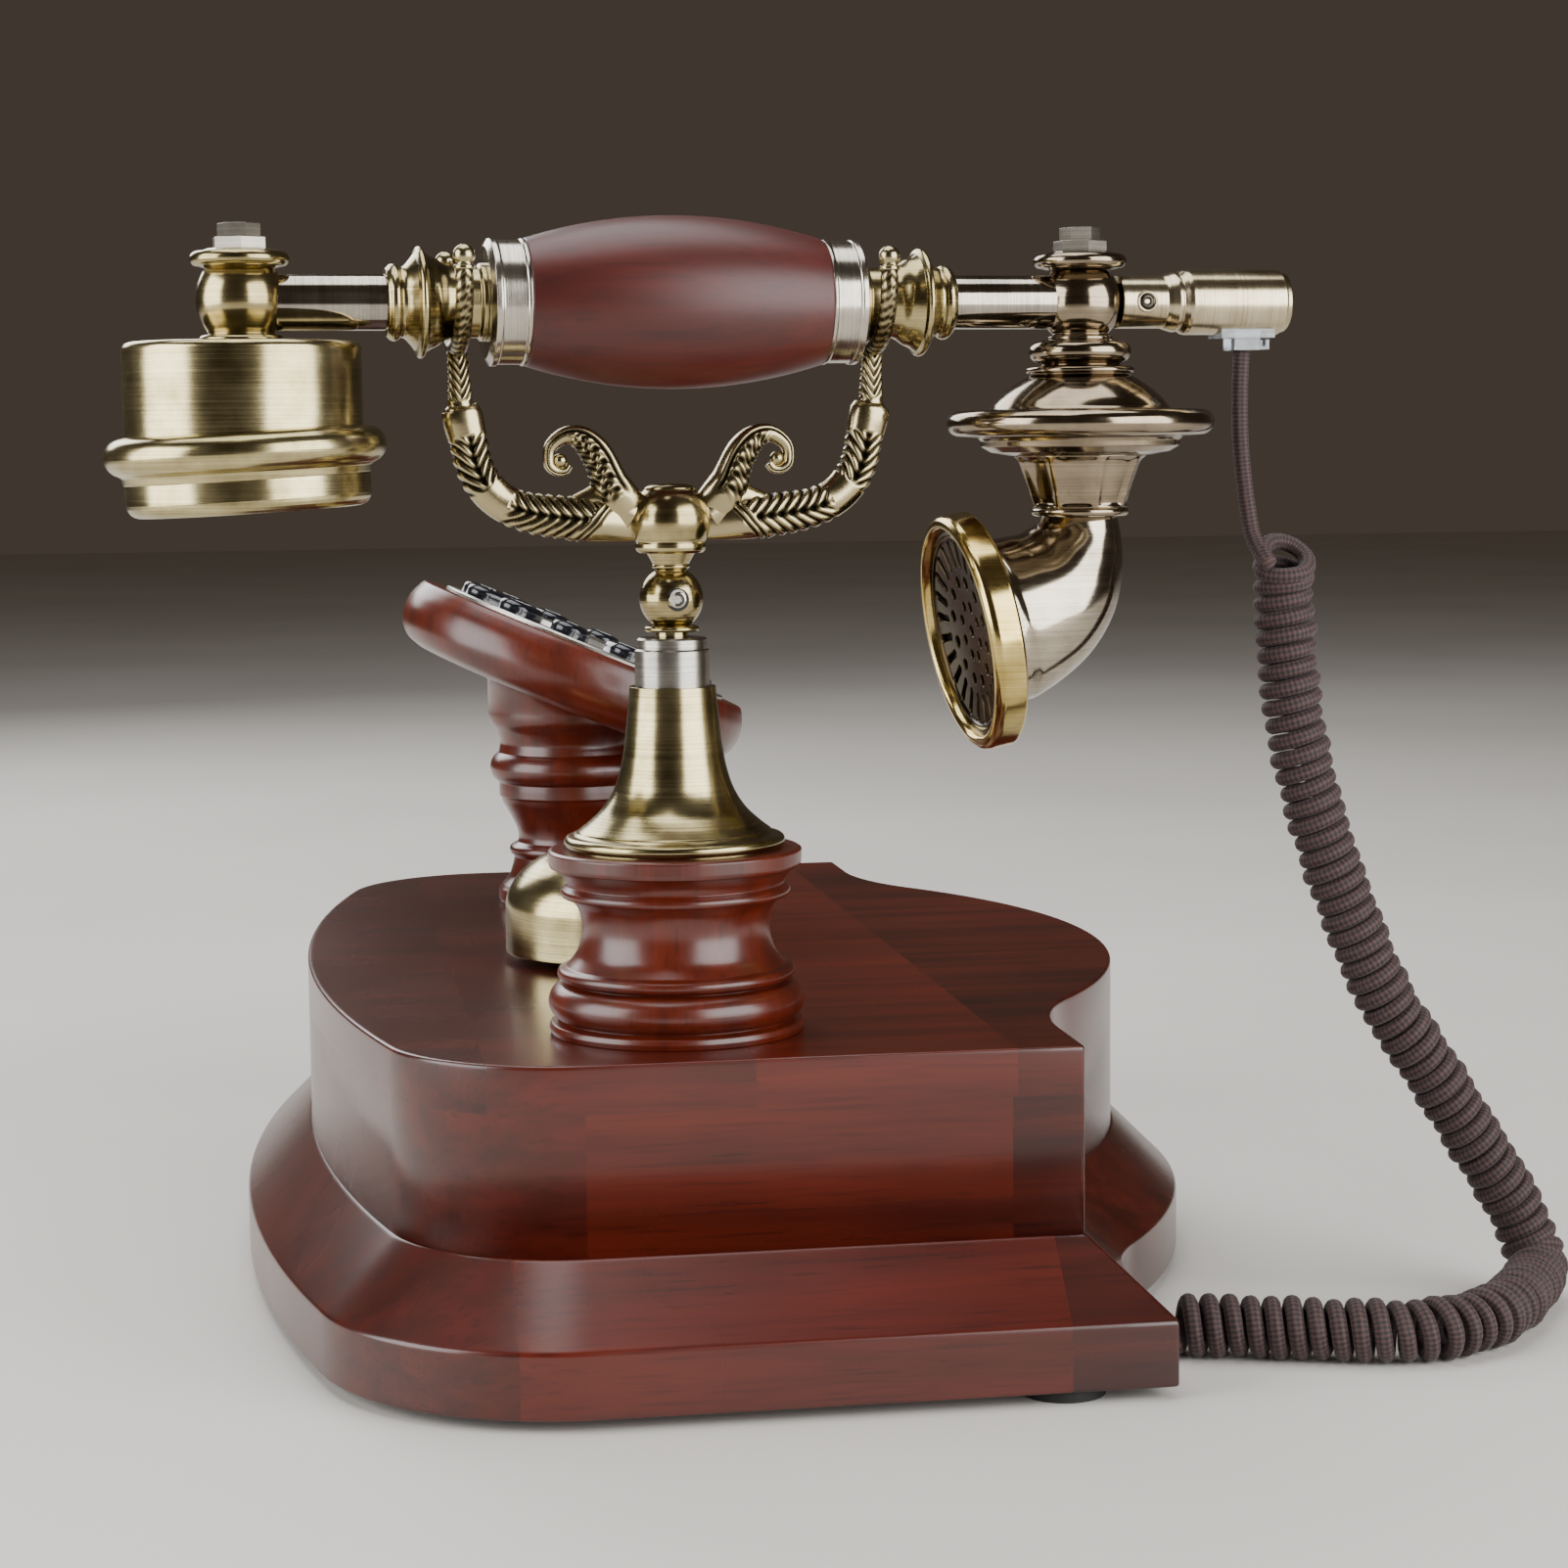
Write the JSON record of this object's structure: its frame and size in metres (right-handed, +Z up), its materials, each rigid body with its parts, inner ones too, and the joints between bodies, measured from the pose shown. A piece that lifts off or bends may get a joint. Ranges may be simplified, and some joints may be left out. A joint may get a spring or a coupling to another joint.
{
  "type": "rotary telephone",
  "caption": "Antique style desk telephone: wooden base, brass column and cradle, ornate metal handset with a curly cord, gong and a tilted dial disc with push keys.",
  "frame": {"origin": "on the table, under the middle of the telephone without its free cord", "axes": "+Z up, user at -Y, +X to the user's right (the dial's side), the handset lies along Y"},
  "size_m": [0.376, 0.3638, 0.2761],
  "materials": {
    "mahogany": "satin varnish over mahogany",
    "mahogany_dark": "satin varnish over dark stained mahogany",
    "mahogany_turned": "satin varnish, turned",
    "grip_wood": "polished varnish, turned",
    "bottom_board": "matte black",
    "steel_screw": "plated",
    "foot_rubber": "soft rubber",
    "board_green": "circuit board",
    "switch_black": "moulded",
    "socket_plastic": "moulded socket",
    "brass_antique": "antique brass, satin",
    "brass_brushed": "antique brass, spun and brushed",
    "brass_cast": "cast antique brass, darkened recesses",
    "brass_polished": "polished brass",
    "brass_gong": "polished brass gong",
    "steel_brushed": "satin nickel",
    "steel_nickel": "polished gunmetal nickel",
    "spring_steel": "spring wire",
    "plate_metal": "satin plate",
    "mat_rubber": "silicone mat",
    "capsule_black": "capsule",
    "screw_black": "blackened",
    "plug_clear": "clear moulded plug",
    "cord_brown": "braided brown cord",
    "key_dark": "dark keys with pale figures"
  },
  "bodies": {
    "base": {"base_case": "mahogany", "base_plinth": "mahogany_dark", "bottom_cover": "bottom_board", "cover_screws": "steel_screw", "rubber_feet": "foot_rubber", "main_board": "board_green", "hook_switch": "switch_black", "base_jacks": "socket_plastic", "column_foot": "mahogany_turned", "column_bell": "brass_antique", "column_guide": "steel_brushed", "hook_spring": "spring_steel", "ringer_gong": "brass_gong", "gong_post": "steel_screw", "dial_pedestal": "mahogany_turned", "dial_disc": "mahogany_turned", "dial_plate": "plate_metal", "keypad_mat": "mat_rubber", "base_plug": "plug_clear", "cord_lead": "cord_brown", "cord_coil": "cord_brown", "cord_tail": "cord_brown"},
    "hook": {"hook_plunger": "brass_antique", "plunger_pin": "steel_brushed", "cradle_hub": "brass_antique", "cradle_arm_ear": "brass_cast", "cradle_arm_mouth": "brass_cast"},
    "handset": {"grip": "grip_wood", "ferrules": "steel_brushed", "handset_necks": "brass_antique", "handset_tube": "steel_nickel", "joint_balls": "steel_nickel", "finials": "brass_antique", "ear_drum": "brass_brushed", "ear_bezel": "brass_brushed", "ear_cap": "brass_brushed", "receiver": "capsule_black", "mouth_dome": "steel_nickel", "mouth_cup": "steel_nickel", "mouth_elbow": "steel_nickel", "mouth_ring": "brass_polished", "mouth_grille": "brass_antique", "microphone": "capsule_black", "end_cap": "brass_brushed", "set_screw": "screw_black", "handset_jack": "socket_plastic", "handset_plug": "plug_clear"},
    "key_1": {"key_1": "key_dark"},
    "key_2": {"key_2": "key_dark"},
    "key_3": {"key_3": "key_dark"},
    "key_4": {"key_4": "key_dark"},
    "key_5": {"key_5": "key_dark"},
    "key_6": {"key_6": "key_dark"},
    "key_7": {"key_7": "key_dark"},
    "key_8": {"key_8": "key_dark"},
    "key_9": {"key_9": "key_dark"},
    "key_star": {"key_star": "key_dark"},
    "key_0": {"key_0": "key_dark"},
    "key_hash": {"key_hash": "key_dark"}
  },
  "joints": [
    {"name": "handset_lift", "type": "slide", "parent": "base", "child": "handset", "axis": [0, 0, 1], "range_m": [0, 0.12]},
    {"name": "hook_slide", "type": "slide", "parent": "base", "child": "hook", "axis": [0, 0, 1], "range_m": [0, 0.006], "stiffness_N_per_m": 250, "springref_m": 0.014, "deforming": ["hook_spring"]},
    {"name": "key_1_press", "type": "slide", "parent": "base", "child": "key_1", "axis": [0, 0.3907, -0.9205], "range_m": [0, 0.0012], "stiffness_N_per_m": 300, "springref_m": -0.0008},
    {"name": "key_2_press", "type": "slide", "parent": "base", "child": "key_2", "axis": [0, 0.3907, -0.9205], "range_m": [0, 0.0012], "stiffness_N_per_m": 300, "springref_m": -0.0008},
    {"name": "key_3_press", "type": "slide", "parent": "base", "child": "key_3", "axis": [0, 0.3907, -0.9205], "range_m": [0, 0.0012], "stiffness_N_per_m": 300, "springref_m": -0.0008},
    {"name": "key_4_press", "type": "slide", "parent": "base", "child": "key_4", "axis": [0, 0.3907, -0.9205], "range_m": [0, 0.0012], "stiffness_N_per_m": 300, "springref_m": -0.0008},
    {"name": "key_5_press", "type": "slide", "parent": "base", "child": "key_5", "axis": [0, 0.3907, -0.9205], "range_m": [0, 0.0012], "stiffness_N_per_m": 300, "springref_m": -0.0008},
    {"name": "key_6_press", "type": "slide", "parent": "base", "child": "key_6", "axis": [0, 0.3907, -0.9205], "range_m": [0, 0.0012], "stiffness_N_per_m": 300, "springref_m": -0.0008},
    {"name": "key_7_press", "type": "slide", "parent": "base", "child": "key_7", "axis": [0, 0.3907, -0.9205], "range_m": [0, 0.0012], "stiffness_N_per_m": 300, "springref_m": -0.0008},
    {"name": "key_8_press", "type": "slide", "parent": "base", "child": "key_8", "axis": [0, 0.3907, -0.9205], "range_m": [0, 0.0012], "stiffness_N_per_m": 300, "springref_m": -0.0008},
    {"name": "key_9_press", "type": "slide", "parent": "base", "child": "key_9", "axis": [0, 0.3907, -0.9205], "range_m": [0, 0.0012], "stiffness_N_per_m": 300, "springref_m": -0.0008},
    {"name": "key_star_press", "type": "slide", "parent": "base", "child": "key_star", "axis": [0, 0.3907, -0.9205], "range_m": [0, 0.0012], "stiffness_N_per_m": 300, "springref_m": -0.0008},
    {"name": "key_0_press", "type": "slide", "parent": "base", "child": "key_0", "axis": [0, 0.3907, -0.9205], "range_m": [0, 0.0012], "stiffness_N_per_m": 300, "springref_m": -0.0008},
    {"name": "key_hash_press", "type": "slide", "parent": "base", "child": "key_hash", "axis": [0, 0.3907, -0.9205], "range_m": [0, 0.0012], "stiffness_N_per_m": 300, "springref_m": -0.0008}
  ],
  "couplings": [
    {"joint": "hook_slide", "follows": "handset_lift", "ratio": 0.05}
  ]
}
